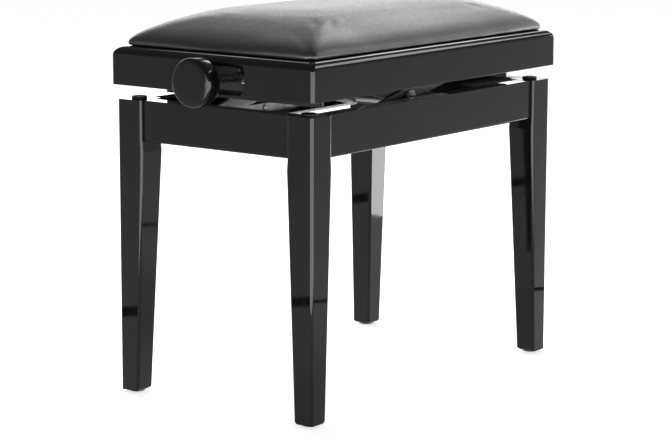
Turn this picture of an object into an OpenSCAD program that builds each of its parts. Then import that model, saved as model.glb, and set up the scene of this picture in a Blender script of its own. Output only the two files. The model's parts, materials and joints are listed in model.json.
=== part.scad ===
// Adjustable-height piano bench. A lacquered wooden base with four tapered legs carries a
// steel scissor lift. A lead screw, turned by the knob at the left end, draws the upper
// sliding pivot towards the fixed one, and the upholstered seat frame rises level.
// Millimetres, +Z up, long side along X, knob at -X. The origin is on the floor, under the
// middle of everything that the bench and its knob cover.

/* [Seat frame] */
// Outer length of the seat frame
bench_l = 550; // [450:5:750]
// Outer width of the seat frame
bench_w = 328; // [280:2:420]
// Height of the seat frame's rails
frame_h = 50; // [44:1:70]
// Thickness of the seat frame's rails
frame_t = 30; // [24:1:36]
// Radius along the frame's outer top edge
frame_round = 12; // [3:1:16]
// Radius of the frame's upright corner edges
frame_corner_r = 4; // [2:0.5:8]
// Length of the slot that clears the hand around the knob
slot_l = 115; // [80:1:140]
// Height of the knob slot
slot_h = 34; // [26:1:36]
// Height of the slot's middle above the frame's lower edge
slot_rise = 19.5; // [18:0.5:26]
// Distance from the slot's middle down to the lead screw
screw_drop = 3; // [0:0.5:4]

/* [Cushion] */
// Thickness of the upholstered board
board_t = 10; // [8:1:16]
// Distance from the frame's outer face to the cushion's widest line
cushion_inset = 13; // [8:1:25]
// Rise of the cushion's side above the frame, at the edge
cushion_side = 26; // [18:1:40]
// Rise of the cushion's middle above the frame
cushion_crown = 47; // [36:1:65]
// Thickness of the cover material
cover_t = 1.2; // [0.8:0.1:2]

/* [Legs and aprons] */
// Height of the leg tops above the floor
leg_top_z = 389; // [330:1:450]
// Width of a leg at its top
leg_w = 40; // [34:1:55]
// Width of a leg at its foot
foot_w = 29; // [22:1:34]
// Radius of the legs' upright edges
leg_round = 3.5; // [2:0.5:6]
// Swell of a leg's inner faces just under the aprons
leg_swell = 1; // [0:0.1:2]
// Distance that the seat frame stands out past the legs
overhang = 5; // [2:1:12]
// Height of the aprons
apron_h = 54; // [46:1:80]
// Thickness of the aprons
apron_t = 20; // [16:1:24]
// Distance from the legs' outer faces back to the aprons
apron_recess = 5; // [2:1:8]
// Gap between the leg tops and the seat frame in the stored position
seat_gap = 18.5; // [17:0.5:40]

/* [Feet and bumpers] */
// Height of the floor glides
glide_h = 3; // [2:0.5:6]
// Diameter of the floor glides
glide_d = 21; // [14:1:24]
// Height of the bumpers on the leg tops
bumper_h = 3.2; // [2:0.1:5]
// Diameter of the bumpers
bumper_d = 20; // [12:1:26]

/* [Scissor lift] */
// Length of a scissor arm between its end pivots
arm_l = 340; // [300:5:360]
// Width of a scissor arm
arm_w = 20; // [16:1:22]
// Thickness of a scissor arm
arm_t = 4; // [3:0.5:5]
// Height between the lower and the upper pivot lines in the stored position
pivot_rise = 72; // [68:1:80]
// Diameter of the cross rods
rod_d = 10; // [8:1:12]
// Height of the steel channels
channel_h = 21; // [20:0.5:24]
// Depth of the steel channels
channel_w = 22; // [18:1:26]
// Thickness of the steel sheet
sheet_t = 2.5; // [2:0.25:3]
// Diameter of the lead screw
screw_d = 12; // [10:1:14]
// Length of the nut block along the screw
nut_l = 24; // [18:1:32]
// Outer diameter of the two assist springs
spring_d = 11; // [9:1:14]

/* [Knob] */
// Diameter of the knob's rim
knob_d = 63; // [45:1:75]
// Length of the knob along the screw
knob_l = 36; // [28:1:50]
// Diameter of the knob's hub, next to the frame
hub_d = 42; // [30:1:44]
// Length of the hub behind the rim
hub_l = 11; // [8:1:16]
// Radius of the knob's rim edges
knob_round = 5; // [2:0.5:8]

/* [Hidden] */
$fn = 48;

// Clearances
snug = 0.05;      // between a fastener and its hole
running = 0.08;   // radial, between a shaft and its bore
slide_gap = 0.3;  // between a bush and its channel
side_gap = 1;     // between pieces that pass each other on the rods

// Plan
half_l = bench_l / 2;
half_w = bench_w / 2;
knob_gap = 2;
knob_reach = knob_gap + knob_l;
leg_x = half_l - overhang;
leg_y = half_w - overhang;
leg_in_x = leg_x - leg_w;
leg_in_y = leg_y - leg_w;
apron_out_x = leg_x - apron_recess;
apron_out_y = leg_y - apron_recess;
apron_in_x = apron_out_x - apron_t;
apron_in_y = apron_out_y - apron_t;
frame_in_x = half_l - frame_t;
frame_in_y = half_w - frame_t;

// Heights
apron_z = leg_top_z - apron_h;
frame_z = leg_top_z + seat_gap;
frame_top = frame_z + frame_h;
upper_z = frame_z + slot_rise - screw_drop;
lower_z = upper_z - pivot_rise;
slot_z = frame_z + slot_rise;

// Scissor
rod_r = rod_d / 2;
flange_thinning = 0.5;  // taken off each flange where the bush runs
bush_r = channel_h / 2 - sheet_t + flange_thinning - slide_gap;
rest_angle = asin(pivot_rise / arm_l);
span = arm_l * cos(rest_angle);
fixed_x = -span / 2;
slide_x = span / 2;
low_travel = seat_gap - bumper_h;
slide_far_x = fixed_x + arm_l * cos(asin((pivot_rise - low_travel) / arm_l));
channel_margin = 5;     // channel past the bush at the end of its travel
pivot_margin = 39;      // upper channel past the fixed pivot
arm_gap = 2;            // between a channel's mouth and the outer arm
tie_t = 3;
tie_end_gap = 3;        // between a lower tie's end and the apron
upper_tie_end_gap = 6;  // between an upper tie's end and the seat rail
upper_tie_drop = 20;    // upper tie below the channels
lower_end_x = ceil(slide_far_x + bush_r + channel_margin);
upper_end_x = ceil(max(lower_end_x, span / 2 + pivot_margin));
wall_y = min(apron_in_y, frame_in_y);
arm_a_y = wall_y - channel_w - arm_gap - arm_t;
arm_b_y = arm_a_y - side_gap - arm_t;
spring_y = 12;          // from the middle out to a spring

// Blocks on the lead screw
block_l = 28;
block_h = 24;
rod_seat = 8;
screw_r = screw_d / 2;
screw_tail = 8;         // screw past the nut block at the end of its travel
knob_face_t = 8;        // knob's front wall
insert_l = knob_l - knob_face_t;
screw_in_knob = insert_l - 1;
collar_l = 8;
collar_r = screw_r + 4;
washer_t = 1.5;
washer_play = 0.2;      // between a thrust washer and the bearing block
screw_end_x = slide_far_x + nut_l / 2 + screw_tail;

// Fasteners
dowel_r = 4;
dowel_l = 30;
bolt_r = 4;
bolt_in_leg = 22;       // leg bolt inside the leg
bolt_past_block = 14;   // leg bolt past the corner block
bolt_drop = 2;          // leg bolt below the apron's middle
bolt_z = apron_z + apron_h / 2 - bolt_drop;
bolt_washer_r = 10;
bolt_nut_r = 7.5;       // across the corners
bolt_nut_h = 6.5;
bolt_head_r = 7;
bolt_head_h = 3.7;
bolt_head_gap = 0.3;    // between a pivot bolt's head and the arm
centre_nut_h = 6;
centre_bolt_tail = 8;   // pivot bolt past the outer arm
wood_screw_r = 2;
wood_screw_l = 14;
wood_head_r = 4;
wood_head_h = 2;
rail_screw_xs = [-110, 0, 110];
board_screw_l = 27;
board_head_r = 4.5;
board_head_h = 2.5;
stem_r = 1.6;
stem_l = 12;
stem_root = 0.5;        // stem inside its glide or bumper

// Wooden blocks
brace = 45;             // length of the corner blocks along an apron past the leg
brace_rise = 10;        // corner block above the apron's lower edge
brace_drop = 14;        // corner block under the apron's upper edge
seat_brace = 44;
seat_brace_h = 20;
board_screw_inset = 14; // from the seat rails in to the board screws

// Edges
slice = 0.02;           // thickness of the slices that hulls join
apron_edge = 3;         // along an apron's lower outer edge
apron_corner = 4;       // at the lower corners of an apron's face
foot_chamfer = 2.5;
swell_drop = 14;        // from an apron's lower edge down to the legs' widest line
glide_chamfer = 1.5;
bumper_chamfer = 1;
cushion_corner_r = 14;
cushion_softening = 0.6; // growth of the cushion's corner radius for each mm further in
slot_lip = 1;           // chamfer round the knob slot
cushion_edge = 2.5;     // the cushion's draw-in where it meets the frame
cushion_edge_h = 4;     // height of the cushion's widest line
cover_rise = 0.4;       // cover's lower edge above the frame
foam_gap = 0.3;         // between the foam and the cover

// Colours
lacquer = [0.07, 0.07, 0.075];
black_steel = [0.12, 0.12, 0.13];
bright_steel = [0.72, 0.72, 0.74];
raw_wood = [0.72, 0.55, 0.36];
black_plastic = [0.05, 0.05, 0.05];
leatherette = [0.13, 0.125, 0.12];

// ---------------------------------------------------------------- helpers

// Puts the bench's middle over the origin of the whole outline, knob included
module place() {
  translate([knob_reach / 2, 0, 0]) children();
}

module mirror_x(on) {
  mirror([on ? 1 : 0, 0, 0]) children();
}

module mirror_y(on) {
  mirror([0, on ? 1 : 0, 0]) children();
}

module both_sides() {
  for (s = [false, true]) mirror_y(s) children();
}

module four_corners() {
  for (s = [false, true]) mirror_x(s) both_sides() children();
}

// Flat rectangle with its low corner at the origin and true arcs at its corners
module round_rect(l, w, r) {
  translate([r, 0]) square([l - 2 * r, w]);
  translate([0, r]) square([l, w - 2 * r]);
  for (x = [r, l - r], y = [r, w - r]) translate([x, y]) circle(r);
}

// Cylinders along X and along Y, from the point given
module rod_x(r, l) {
  rotate([0, 90, 0]) cylinder(r = r, h = l);
}

module rod_y(r, l) {
  rotate([-90, 0, 0]) cylinder(r = r, h = l);
}

// ---------------------------------------------------------------- legs and aprons

// Cross-section of a leg at one height, with its outer corner fixed
module leg_slice(z, side) {
  translate([leg_x - side, leg_y - side, z])
    linear_extrude(slice)
      round_rect(side, side, leg_round, $fn = 32);
}

// One leg in the +X +Y corner: a square head, and a taper that starts with a slight swell
module leg() {
  difference() {
    union() {
      hull() {
        leg_slice(glide_h, foot_w - foot_chamfer);
        leg_slice(glide_h + foot_chamfer, foot_w);
        leg_slice(apron_z - swell_drop, leg_w + leg_swell);
        leg_slice(apron_z, leg_w);
      }
      hull() {
        leg_slice(apron_z - swell_drop, leg_w);
        leg_slice(leg_top_z - slice, leg_w);
      }
    }
    leg_dowels(snug);
    leg_bolt(snug);
    glide_stem(snug);
    bumper_stem(snug);
  }
}

module leg_at(left, front) {
  color(lacquer) mirror_x(left) mirror_y(front) leg();
}

// The four dowels of one leg joint, two into each apron
module leg_dowels(gap = 0) {
  for (z = [apron_z + apron_h * 0.25, apron_z + apron_h * 0.75]) {
    translate([leg_in_x - dowel_l / 2 - gap, apron_out_y - apron_t / 2, z])
      rod_x(dowel_r + gap, dowel_l + 2 * gap);
    translate([apron_out_x - apron_t / 2, leg_in_y - dowel_l / 2 - gap, z])
      rod_y(dowel_r + gap, dowel_l + 2 * gap);
  }
}

module apron_dowels() {
  color(raw_wood) four_corners() leg_dowels();
}

// Apron outline: a rectangle whose lower outer edge is rounded
module apron_outline() {
  r = apron_edge;
  translate([0, r]) square([apron_t, apron_h - r]);
  square([apron_t - r, r]);
  translate([apron_t - r, r]) circle(r);
}

// An apron's face, its middle at 0, with its two lower corners rounded
module apron_face(half) {
  r = apron_corner;
  translate([-half, r]) square([2 * half, apron_h - r]);
  translate([r - half, 0]) square([2 * (half - r), r]);
  for (x = [r - half, half - r]) translate([x, r]) circle(r);
}

// Long apron on the +Y side
module long_apron() {
  difference() {
    intersection() {
      translate([leg_in_x, apron_in_y, apron_z])
        rotate([90, 0, -90])
          linear_extrude(2 * leg_in_x)
            mirror([1, 0]) apron_outline();
      translate([0, apron_out_y + 1, apron_z])
        rotate([90, 0, 0])
          linear_extrude(apron_t + 2) apron_face(leg_in_x);
    }
    four_corners() leg_dowels(snug);
    wood_screws(apron_in_y, lower_z, snug);
  }
}

module long_apron_at(front) {
  color(lacquer) mirror_y(front) long_apron();
}

// Short apron on the +X side
module short_apron() {
  difference() {
    intersection() {
      translate([apron_in_x, leg_in_y, apron_z])
        rotate([90, 0, 0])
          linear_extrude(2 * leg_in_y) apron_outline();
      translate([apron_in_x - 1, 0, apron_z])
        rotate([90, 0, 90])
          linear_extrude(apron_t + 2) apron_face(leg_in_y);
    }
    four_corners() leg_dowels(snug);
  }
}

module short_apron_at(left) {
  color(lacquer) mirror_x(left) short_apron();
}

// Block glued in the corner behind a leg
module corner_block() {
  difference() {
    translate([0, 0, apron_z + brace_rise])
      linear_extrude(apron_h - brace_rise - brace_drop)
        polygon([
          [leg_in_x, leg_in_y], [leg_in_x, apron_in_y],
          [leg_in_x - brace, apron_in_y],
          [apron_in_x, apron_in_y - (apron_in_x - leg_in_x) - brace],
          [apron_in_x, leg_in_y]
        ]);
    leg_bolt(snug);
  }
}

module corner_blocks() {
  color(raw_wood) four_corners() corner_block();
}

// Distance along the diagonal from the leg's inner corner to the block's inner face
function brace_depth() = (brace - (apron_in_y - leg_in_y)) / sqrt(2);

// Moves children to the leg's inner corner, with +X pointing in along the diagonal
module on_leg_bolt() {
  translate([leg_in_x, leg_in_y, bolt_z]) rotate([0, 0, 225]) children();
}

module leg_bolt(gap = 0) {
  on_leg_bolt()
    translate([-bolt_in_leg - gap, 0, 0])
      rod_x(bolt_r + gap, bolt_in_leg + brace_depth() + bolt_past_block + 2 * gap);
}

module leg_bolts() {
  color(bright_steel) four_corners() leg_bolt();
}

module leg_bolt_washers() {
  color(bright_steel) four_corners() on_leg_bolt()
    translate([brace_depth(), 0, 0])
      difference() {
        rod_x(bolt_washer_r, washer_t);
        translate([-1, 0, 0]) rod_x(bolt_r + snug, washer_t + 2);
      }
}

module leg_bolt_nuts() {
  color(bright_steel) four_corners() on_leg_bolt()
    translate([brace_depth() + washer_t, 0, 0])
      difference() {
        rotate([0, 90, 0]) cylinder(r = bolt_nut_r, h = bolt_nut_h, $fn = 6);
        translate([-1, 0, 0]) rod_x(bolt_r + snug, bolt_nut_h + 2);
      }
}

// ---------------------------------------------------------------- feet and bumpers

module glide_stem(gap = 0) {
  translate([leg_x - foot_w / 2, leg_y - foot_w / 2, glide_h - stem_root])
    cylinder(r = stem_r + gap, h = stem_l + stem_root + gap);
}

module foot_glides() {
  color(black_plastic) four_corners() {
    translate([leg_x - foot_w / 2, leg_y - foot_w / 2, 0]) {
      cylinder(r1 = glide_d / 2 - glide_chamfer, r2 = glide_d / 2, h = glide_chamfer);
      translate([0, 0, glide_chamfer]) cylinder(r = glide_d / 2, h = glide_h - glide_chamfer);
    }
    glide_stem();
  }
}

module bumper_stem(gap = 0) {
  translate([leg_x - leg_w / 2, leg_y - leg_w / 2, leg_top_z - stem_l - gap])
    cylinder(r = stem_r + gap, h = stem_l + gap + stem_root);
}

module leg_bumpers() {
  color(black_plastic) four_corners() {
    translate([leg_x - leg_w / 2, leg_y - leg_w / 2, leg_top_z]) {
      cylinder(r = bumper_d / 2, h = bumper_h - bumper_chamfer);
      translate([0, 0, bumper_h - bumper_chamfer])
        cylinder(r1 = bumper_d / 2, r2 = bumper_d / 2 - bumper_chamfer, h = bumper_chamfer);
    }
    bumper_stem();
  }
}

// ---------------------------------------------------------------- steel channels

// Channel along X on the +Y side, its web against the wall at y and its mouth inwards
module channel(half, y, z) {
  difference() {
    translate([-half, y - channel_w, z - channel_h / 2]) cube([2 * half, channel_w, channel_h]);
    translate([-half - 1, y - channel_w - 1, z - bush_r - slide_gap])
      cube([2 * half + 2, channel_w + 1 - sheet_t, 2 * (bush_r + slide_gap)]);
    wood_screws(y, z, snug);
  }
}

// The screws that hold one channel to the wood behind it, at y on the +Y side
module wood_screws(y, z, gap = 0) {
  for (x = rail_screw_xs)
    translate([x, y - sheet_t - wood_head_h, z]) {
      rod_y(wood_screw_r + gap, wood_head_h + sheet_t + wood_screw_l + gap);
      if (gap == 0) rod_y(wood_head_r, wood_head_h);
    }
}

module lower_rail() {
  difference() {
    channel(lower_end_x, apron_in_y, lower_z);
    translate([fixed_x, apron_in_y - sheet_t - 1, lower_z]) rod_y(rod_r + snug, sheet_t + 2);
  }
}

module lower_rail_at(front) {
  color(black_steel) mirror_y(front) lower_rail();
}

module upper_rail() {
  difference() {
    channel(upper_end_x, frame_in_y, upper_z);
    translate([fixed_x, frame_in_y - sheet_t - 1, upper_z]) rod_y(rod_r + snug, sheet_t + 2);
  }
}

module upper_rail_at(front) {
  color(black_steel) mirror_y(front) upper_rail();
}

module lower_rail_screws() {
  color(bright_steel) both_sides() wood_screws(apron_in_y, lower_z);
}

module upper_rail_screws() {
  color(bright_steel) both_sides() wood_screws(frame_in_y, upper_z);
}

// Plate across the ends of the lower channels
module lower_tie_at(left) {
  y = apron_in_y - tie_end_gap;
  color(black_steel) mirror_x(left)
    translate([lower_end_x, -y, lower_z - channel_h / 2]) cube([tie_t, 2 * y, channel_h]);
}

// Plate across the ends of the upper channels, reaching down towards the aprons
module upper_tie() {
  y = frame_in_y - upper_tie_end_gap;
  translate([upper_end_x, -y, upper_z - channel_h / 2 - upper_tie_drop])
    cube([tie_t, 2 * y, channel_h + upper_tie_drop]);
}

// The left plate has a hole that the lead screw clears
module upper_tie_left() {
  color(black_steel) mirror_x(true)
    difference() {
      upper_tie();
      translate([upper_end_x - 1, 0, upper_z]) rod_x(collar_r, tie_t + 2);
    }
}

module upper_tie_right() {
  color(black_steel) upper_tie();
}

// ---------------------------------------------------------------- scissor arms and rods

// Flat arm from the fixed side up or down to the sliding side, its faces at y and y + arm_t
module scissor_arm(y, rising) {
  angle = rising ? -rest_angle : rest_angle;
  z = rising ? lower_z : upper_z;
  translate([fixed_x, y, z])
    rotate([90, angle, 0])
      translate([0, 0, -arm_t])
        linear_extrude(arm_t)
          difference() {
            union() {
              translate([0, -arm_w / 2]) square([arm_l, arm_w]);
              for (x = [0, arm_l]) translate([x, 0]) circle(arm_w / 2);
            }
            for (x = [0, arm_l]) translate([x, 0]) circle(rod_r + running);
            translate([arm_l / 2, 0]) circle(bolt_r + running);
          }
}

module arm_a_at(front) {
  color(black_steel) mirror_y(front) scissor_arm(arm_a_y, true);
}

module arm_b_at(front) {
  color(black_steel) mirror_y(front) scissor_arm(arm_b_y, false);
}

centre_z = (lower_z + upper_z) / 2;
washer_side = 0.15;   // between a pivot washer and each arm
rod_end_gap = 0.5;    // between a cross rod's end and the wood
eye_wire = 0.9;       // radius of a spring eye's wire
eye_gap = 0.5;        // between a spring eye and its rod

// Shoulder bolts through the middles of the crossed arms
module centre_bolts() {
  color(bright_steel) both_sides()
    translate([0, arm_b_y - bolt_head_h - bolt_head_gap, centre_z]) {
      rod_y(bolt_head_r, bolt_head_h);
      rod_y(bolt_r, bolt_head_h + bolt_head_gap + 2 * arm_t + side_gap + centre_bolt_tail);
    }
}

module centre_nuts() {
  color(bright_steel) both_sides()
    translate([0, arm_a_y + arm_t + bolt_head_gap, centre_z])
      difference() {
        rotate([-90, 0, 0]) cylinder(r = bolt_nut_r, h = centre_nut_h, $fn = 6);
        translate([0, -1, 0]) rod_y(bolt_r + snug, centre_nut_h + 2);
      }
}

// Ring around a rod or bolt along Y
module ring(r_in, r_out, t) {
  difference() {
    rod_y(r_out, t);
    translate([0, -1, 0]) rod_y(r_in + snug, t + 2);
  }
}

// Washers between the crossed arms
module pivot_washers() {
  color(bright_steel) both_sides()
    translate([0, arm_b_y + arm_t + washer_side, centre_z])
      ring(bolt_r + running, bolt_nut_r, side_gap - 2 * washer_side);
}

// Rod across the bench, to just short of the walls at y
module cross_rod(y) {
  half = y - rod_end_gap;
  translate([0, -half, 0]) rod_y(rod_r, 2 * half);
}

module lower_pivot_rod() {
  color(bright_steel) translate([fixed_x, 0, lower_z]) cross_rod(apron_in_y);
}

module lower_slide_rod() {
  color(bright_steel) translate([slide_x, 0, lower_z])
    cross_rod(apron_in_y - sheet_t - wood_head_h);
}

// Nylon bush on the end of a sliding rod, inside the channel whose wall is at y
module slide_bush(y) {
  length = channel_w - sheet_t - wood_head_h - 2 * rod_end_gap;
  translate([0, y - sheet_t - wood_head_h - rod_end_gap - length, 0]) ring(rod_r, bush_r, length);
}

module lower_slide_bushes() {
  color("ivory") both_sides() translate([slide_x, 0, lower_z]) slide_bush(apron_in_y);
}

module upper_slide_bushes() {
  color("ivory") both_sides() translate([slide_x, 0, upper_z]) slide_bush(frame_in_y);
}

// Block on the screw with a stub rod seated in each side
module screw_block(x, length, bore_r) {
  translate([x, 0, upper_z])
    difference() {
      translate([-length / 2, -block_l / 2, -block_h / 2]) cube([length, block_l, block_h]);
      translate([-length / 2 - 1, 0, 0]) rod_x(bore_r, length + 2);
      both_sides()
        translate([0, block_l / 2 - rod_seat - snug, 0]) rod_y(rod_r + snug, rod_seat + 1);
    }
}

// Stub rod from a block out to y
module stub_rods(x, y) {
  both_sides()
    translate([x, block_l / 2 - rod_seat, upper_z]) rod_y(rod_r, y - block_l / 2 + rod_seat);
}

module nut_block() {
  color("goldenrod") screw_block(slide_x, nut_l, screw_r + running);
}

module bearing_block() {
  color(bright_steel) screw_block(fixed_x, nut_l, screw_r + running);
}

module upper_slide_rods() {
  color(bright_steel) stub_rods(slide_x, frame_in_y - sheet_t - wood_head_h - rod_end_gap);
}

module upper_pivot_rods() {
  color(bright_steel) stub_rods(fixed_x, frame_in_y - rod_end_gap);
}

// ---------------------------------------------------------------- lead screw and knob

module lead_screw() {
  start = -half_l - knob_gap - screw_in_knob;
  color(bright_steel) translate([start, 0, upper_z]) rod_x(screw_r, screw_end_x - start);
}

// Ring on the lead screw, from x along its length
module screw_ring(x, r_out, length) {
  translate([x, 0, upper_z])
    difference() {
      rod_x(r_out, length);
      translate([-1, 0, 0]) rod_x(screw_r + snug, length + 2);
    }
}

// Faces of the thrust washers, on either side of the bearing block
washer_left_x = fixed_x - nut_l / 2 - washer_play - washer_t;
washer_right_x = fixed_x + nut_l / 2 + washer_play;

module thrust_washers() {
  color(bright_steel) {
    screw_ring(washer_left_x, collar_r, washer_t);
    screw_ring(washer_right_x, collar_r, washer_t);
  }
}

module screw_collars() {
  color(black_steel) {
    screw_ring(washer_left_x - collar_l, collar_r, collar_l);
    screw_ring(washer_right_x + washer_t, collar_r, collar_l);
  }
}

insert_wall = 3.5;
insert_r = screw_r + insert_wall;
set_screw_r = 2;
set_screw_sink = 1.9; // set screw under the hub's surface

// Half-section of the knob, radius along X and length along Y from the hub's end
module knob_outline() {
  r = knob_d / 2;
  square([hub_d / 2, hub_l + knob_round]);
  translate([0, hub_l]) square([r - knob_round, knob_l - hub_l]);
  translate([0, hub_l + knob_round]) square([r, knob_l - hub_l - 2 * knob_round]);
  for (y = [hub_l + knob_round, knob_l - knob_round])
    translate([r - knob_round, y]) circle(knob_round);
}

// Puts a shape drawn along +Z on the screw's axis, pointing away from the frame
module on_knob() {
  translate([-half_l - knob_gap, 0, upper_z]) rotate([0, -90, 0]) children();
}

module knob() {
  color(lacquer) on_knob()
    difference() {
      rotate_extrude($fn = 96) knob_outline();
      translate([0, 0, -1]) cylinder(r = insert_r + snug, h = insert_l + 1 + snug);
      set_screw_hole();
    }
}

// Hole for the set screw, from the middle of the hub outwards
module set_screw_hole() {
  translate([0, 0, hub_l / 2]) rotate([0, 90, 0]) cylinder(r = set_screw_r + snug, h = hub_d);
}

module knob_insert() {
  color(bright_steel) on_knob()
    difference() {
      cylinder(r = insert_r, h = insert_l);
      translate([0, 0, -1]) cylinder(r = screw_r + snug, h = insert_l + 2);
      set_screw_hole();
    }
}

module knob_set_screw() {
  color(black_steel) on_knob()
    translate([0, 0, hub_l / 2]) rotate([0, 90, 0])
      translate([0, 0, screw_r + 2 * snug])
        cylinder(r = set_screw_r, h = hub_d / 2 - screw_r - 2 * snug - set_screw_sink);
}

// ---------------------------------------------------------------- springs

// Eye of a spring, round the rod at x
module spring_eye(x) {
  translate([x, 0, 0]) rotate([90, 0, 0])
    rotate_extrude() translate([rod_r + eye_gap + eye_wire, 0]) circle(eye_wire, $fn = 24);
}

// The coil of each spring fills the space between its eyes
module assist_springs() {
  eye = rod_r + eye_gap + 1.5 * eye_wire;
  color(bright_steel) both_sides()
    translate([0, spring_y, lower_z]) {
      spring_eye(fixed_x);
      spring_eye(slide_x);
      translate([fixed_x + eye, 0, 0]) rod_x(spring_d / 2, slide_x - fixed_x - 2 * eye);
    }
}

// ---------------------------------------------------------------- seat frame

// Cross-section of a seat rail, its inner face at 0 and its rounded edge out and up
module seat_rail_outline() {
  r = frame_round;
  square([frame_t, frame_h - r]);
  square([frame_t - r, frame_h]);
  translate([frame_t - r, frame_h - r]) circle(r, $fn = 96);
}

// Everything inside the mitre lines of the +Y rail
module mitre_wedge() {
  far = 2;
  translate([0, 0, frame_z - 1])
    linear_extrude(frame_h + 2)
      polygon([
        [-half_l - far, half_w + far], [half_l + far, half_w + far],
        [half_l - frame_t - far, frame_in_y - far], [-half_l + frame_t + far, frame_in_y - far]
      ]);
}

// Outline of the whole frame, with its upright edges rounded
module frame_prism() {
  translate([-half_l, -half_w, frame_z - 1])
    linear_extrude(frame_h + 2) round_rect(bench_l, bench_w, frame_corner_r);
}

// Long rail on the +Y side
module long_seat_rail() {
  difference() {
    intersection() {
      translate([half_l, frame_in_y, frame_z])
        rotate([90, 0, -90])
          linear_extrude(bench_l)
            mirror([1, 0]) seat_rail_outline();
      mitre_wedge();
      frame_prism();
    }
    wood_screws(frame_in_y, upper_z, snug);
  }
}

module long_seat_rail_at(front) {
  color(lacquer) mirror_y(front) long_seat_rail();
}

// Short rail on the +X side
module short_seat_rail() {
  far = 2;
  intersection() {
    translate([frame_in_x, half_w, frame_z])
      rotate([90, 0, 0])
        linear_extrude(bench_w) seat_rail_outline();
    translate([0, 0, frame_z - 1])
      linear_extrude(frame_h + 2)
        polygon([
          [half_l + far, half_w + far], [half_l + far, -half_w - far],
          [frame_in_x - far, -frame_in_y + far], [frame_in_x - far, frame_in_y - far]
        ]);
    frame_prism();
  }
}

// Slot through the left rail, with a small chamfer round its mouth
module knob_slot() {
  r = slot_h / 2;
  lip = slot_lip;
  y = slot_l / 2 - r;
  translate([-half_l - 1, 0, slot_z]) {
    translate([0, -y, -r]) cube([frame_t + 2, 2 * y, slot_h]);
    for (s = [-y, y]) translate([0, s, 0]) rod_x(r, frame_t + 2);
    for (s = [-y, y])
      translate([0, s, 0]) rotate([0, 90, 0]) cylinder(r1 = r + lip + 1, r2 = r, h = lip + 1);
    rotate([90, 0, 0])
      translate([0, 0, -y])
        linear_extrude(2 * y)
          polygon([[0, -r - lip - 1], [0, r + lip + 1], [lip + 1, r], [lip + 1, -r]]);
  }
}

module seat_rail_left() {
  color(lacquer)
    difference() {
      mirror_x(true) short_seat_rail();
      knob_slot();
    }
}

module seat_rail_right() {
  color(lacquer) short_seat_rail();
}

// Moves children to the middle of a seat corner block
module on_board_screw() {
  translate([frame_in_x - board_screw_inset, frame_in_y - board_screw_inset, frame_top])
    children();
}

module board_screw(gap = 0) {
  on_board_screw() {
    translate([0, 0, -seat_brace_h])
      cylinder(r = wood_screw_r + gap, h = board_screw_l + gap);
    translate([0, 0, -seat_brace_h - board_head_h])
      cylinder(r = board_head_r + gap, h = board_head_h);
  }
}

module board_screws() {
  color(bright_steel) four_corners() board_screw();
}

module seat_corner_blocks() {
  color(raw_wood) four_corners()
    difference() {
      translate([0, 0, frame_top - seat_brace_h])
        linear_extrude(seat_brace_h)
          polygon([
            [frame_in_x, frame_in_y], [frame_in_x - seat_brace, frame_in_y],
            [frame_in_x, frame_in_y - seat_brace]
          ]);
      board_screw(snug);
    }
}

// ---------------------------------------------------------------- cushion

// Crowned pad: slices that widen from the frame, then draw in towards the crown.
// A pad that is cut out of another starts a little under it.
module crowned_pad(inset, low, side, crown, under = 0) {
  steps = [
    [inset + cushion_edge, low - under], [inset, low + cushion_edge_h],
    [inset + 8, low + side * 0.46], [inset + 22, low + side * 0.86],
    [inset + 45, low + side + (crown - side) * 0.32],
    [inset + 80, low + side + (crown - side) * 0.76], [inset + 125, low + crown - slice]
  ];
  hull()
    for (s = steps)
      translate([-half_l + s[0], -half_w + s[0], s[1]])
        linear_extrude(slice)
          round_rect(bench_l - 2 * s[0], bench_w - 2 * s[0],
            min(cushion_corner_r + (s[0] - inset) * cushion_softening, half_w - s[0] - 1), $fn = 32);
}

// Board of the seat, up on the frame and far enough in to clear the cover's slope
module seat_board() {
  inset = cushion_inset + cover_t + board_t;
  color(raw_wood)
    difference() {
      translate([-half_l + inset, -half_w + inset, frame_top])
        linear_extrude(board_t)
          round_rect(bench_l - 2 * inset, bench_w - 2 * inset, cushion_corner_r);
      four_corners() board_screw(snug);
    }
}

// The cushion's outer shape, drawn in on all sides but the underside
module cushion_shape(wall, under = 0) {
  side = cushion_side - cover_rise - wall;
  crown = cushion_crown - cover_rise - wall;
  crowned_pad(cushion_inset + wall, frame_top + cover_rise, side, crown, under);
}

// The foam fills the cover above the board
module seat_foam() {
  color("khaki")
    difference() {
      cushion_shape(cover_t + foam_gap);
      translate([-half_l, -half_w, frame_top - 1]) cube([bench_l, bench_w, board_t + 1]);
    }
}

module seat_cover() {
  color(leatherette)
    difference() {
      cushion_shape(0);
      cushion_shape(cover_t, under = 1);
    }
}

// ---------------------------------------------------------------- assembly

place() leg_at(true, true);  // leg_front_left
place() leg_at(false, true);  // leg_front_right
place() leg_at(true, false);  // leg_back_left
place() leg_at(false, false);  // leg_back_right
place() long_apron_at(true);  // apron_front
place() long_apron_at(false);  // apron_back
place() short_apron_at(true);  // apron_left
place() short_apron_at(false);  // apron_right
place() apron_dowels();
place() corner_blocks();
place() leg_bolts();
place() leg_bolt_washers();
place() leg_bolt_nuts();
place() foot_glides();
place() leg_bumpers();
place() lower_rail_at(true);  // lower_rail_front
place() lower_rail_at(false);  // lower_rail_back
place() lower_tie_at(true);  // lower_tie_left
place() lower_tie_at(false);  // lower_tie_right
place() lower_rail_screws();
place() lower_pivot_rod();
place() arm_a_at(true);  // arm_a_front
place() arm_a_at(false);  // arm_a_back
place() arm_b_at(true);  // arm_b_front
place() arm_b_at(false);  // arm_b_back
place() centre_bolts();
place() centre_nuts();
place() pivot_washers();
place() lower_slide_rod();
place() lower_slide_bushes();
place() nut_block();
place() upper_slide_rods();
place() upper_slide_bushes();
place() upper_pivot_rods();
place() bearing_block();
place() upper_rail_at(true);  // upper_rail_front
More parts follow.
